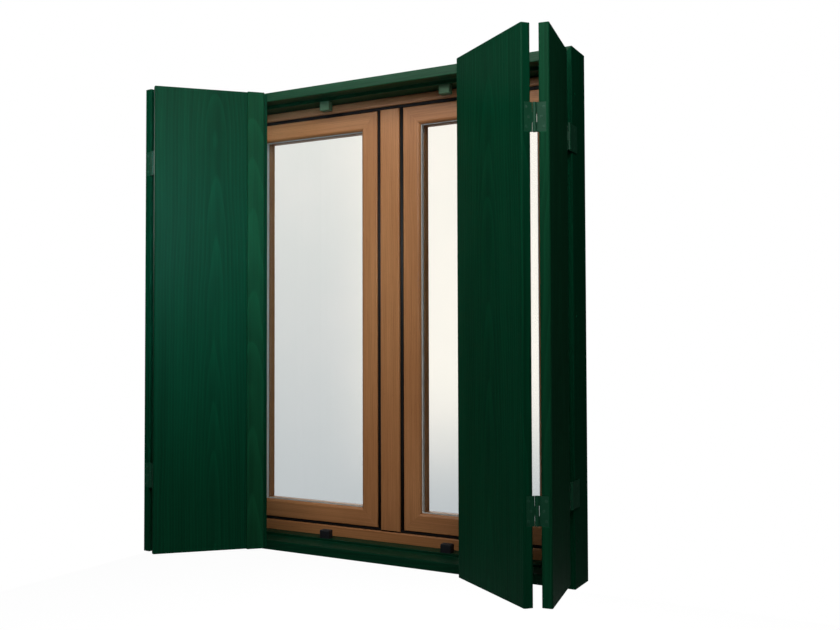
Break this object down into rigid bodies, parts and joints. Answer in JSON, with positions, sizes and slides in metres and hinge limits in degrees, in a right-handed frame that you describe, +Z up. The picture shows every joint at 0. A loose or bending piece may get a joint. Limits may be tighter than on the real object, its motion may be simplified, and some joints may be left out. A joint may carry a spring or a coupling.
{
  "type": "panel shutter",
  "caption": "Book-folding solid panel shutters on a stepped timber frame, half folded open in front of a two-sash timber window with a centre post.",
  "frame": {"origin": "middle of the shutter frame's underside", "axes": "+X to the right seen from the street, +Y from the street to the room, +Z up"},
  "size_m": [1.2304, 0.518, 1.4],
  "materials": {
    "green_timber": "satin green lacquer over fine timber grain",
    "brown_timber": "satin mid-brown stain over fine timber grain",
    "green_keeper": "matt green",
    "dark_keeper": "matt near-black",
    "green_metal": "satin green paint",
    "fitting_metal": "satin bronze-brown paint",
    "glass": "clear, polished",
    "spacer": "mill",
    "seal": "matt pale grey"
  },
  "bodies": {
    "frame": {"frame_head": "green_timber", "frame_jamb_left": "green_timber", "frame_jamb_right": "green_timber", "frame_sill": "green_timber", "glass_left": "glass", "glass_spacer_left": "spacer", "jamb_hinge_plates_left": "green_metal", "jamb_hinge_plates_right": "green_metal", "keeper_head_left": "green_keeper", "keeper_head_right": "green_keeper", "keeper_sill_left": "dark_keeper", "keeper_sill_right": "dark_keeper", "sash_hinge_frame_halves": "fitting_metal", "sash_hinge_halves_left": "fitting_metal", "sash_left_head": "brown_timber", "sash_left_left": "brown_timber", "sash_left_right": "brown_timber", "sash_left_sill": "brown_timber", "window_frame_head": "brown_timber", "window_frame_left": "brown_timber", "window_frame_right": "brown_timber", "window_frame_sill": "brown_timber", "window_post": "brown_timber"},
    "right_outer_panel": {"fold_hinge_outer_leaves_right": "green_metal", "jamb_hinge_leaves_right": "green_metal", "outer_panel_right": "green_timber"},
    "right_inner_panel": {"fold_hinge_inner_leaves_right": "green_metal", "inner_panel_right": "green_timber"},
    "left_outer_panel": {"fold_hinge_outer_leaves_left": "green_metal", "jamb_hinge_leaves_left": "green_metal", "outer_panel_left": "green_timber"},
    "left_inner_panel": {"fold_hinge_inner_leaves_left": "green_metal", "inner_panel_left": "green_timber", "meeting_batten": "green_timber"},
    "right_sash": {"glass_right": "glass", "glass_spacer_right": "spacer", "handle_rose": "fitting_metal", "sash_hinge_halves_right": "fitting_metal", "sash_right_head": "brown_timber", "sash_right_left": "brown_timber", "sash_right_right": "brown_timber", "sash_right_sill": "brown_timber"},
    "handle": {"handle_lever": "fitting_metal"}
  },
  "joints": [
    {"name": "right_swing", "type": "hinge", "parent": "frame", "child": "right_outer_panel", "pos_m": [0.584, -0.0875, 0.7], "axis": [0, 0, 1], "range_deg": [-98, 0]},
    {"name": "right_fold", "type": "hinge", "parent": "right_outer_panel", "child": "right_inner_panel", "pos_m": [0.58179, -0.34481, 0.7], "axis": [0, 0, 1], "range_deg": [0, 137.2]},
    {"name": "left_swing", "type": "hinge", "parent": "frame", "child": "left_outer_panel", "pos_m": [-0.584, -0.0875, 0.7], "axis": [0, 0, 1], "range_deg": [0, 98]},
    {"name": "left_fold", "type": "hinge", "parent": "left_outer_panel", "child": "left_inner_panel", "pos_m": [-0.58179, -0.34481, 0.7], "axis": [0, 0, 1], "range_deg": [-146.02, 0]},
    {"name": "sash_swing", "type": "hinge", "parent": "frame", "child": "right_sash", "pos_m": [0.5346, 0.109, 0.7], "axis": [0, 0, -1], "range_deg": [0, 90]},
    {"name": "handle_turn", "type": "hinge", "parent": "right_sash", "child": "handle", "pos_m": [0.05625, 0.125, 0.7], "axis": [0, -1, 0], "range_deg": [0, 90]}
  ],
  "couplings": [
    {"joint": "right_fold", "follows": "right_swing", "ratio": -1.4},
    {"joint": "left_fold", "follows": "left_swing", "ratio": -1.49}
  ]
}
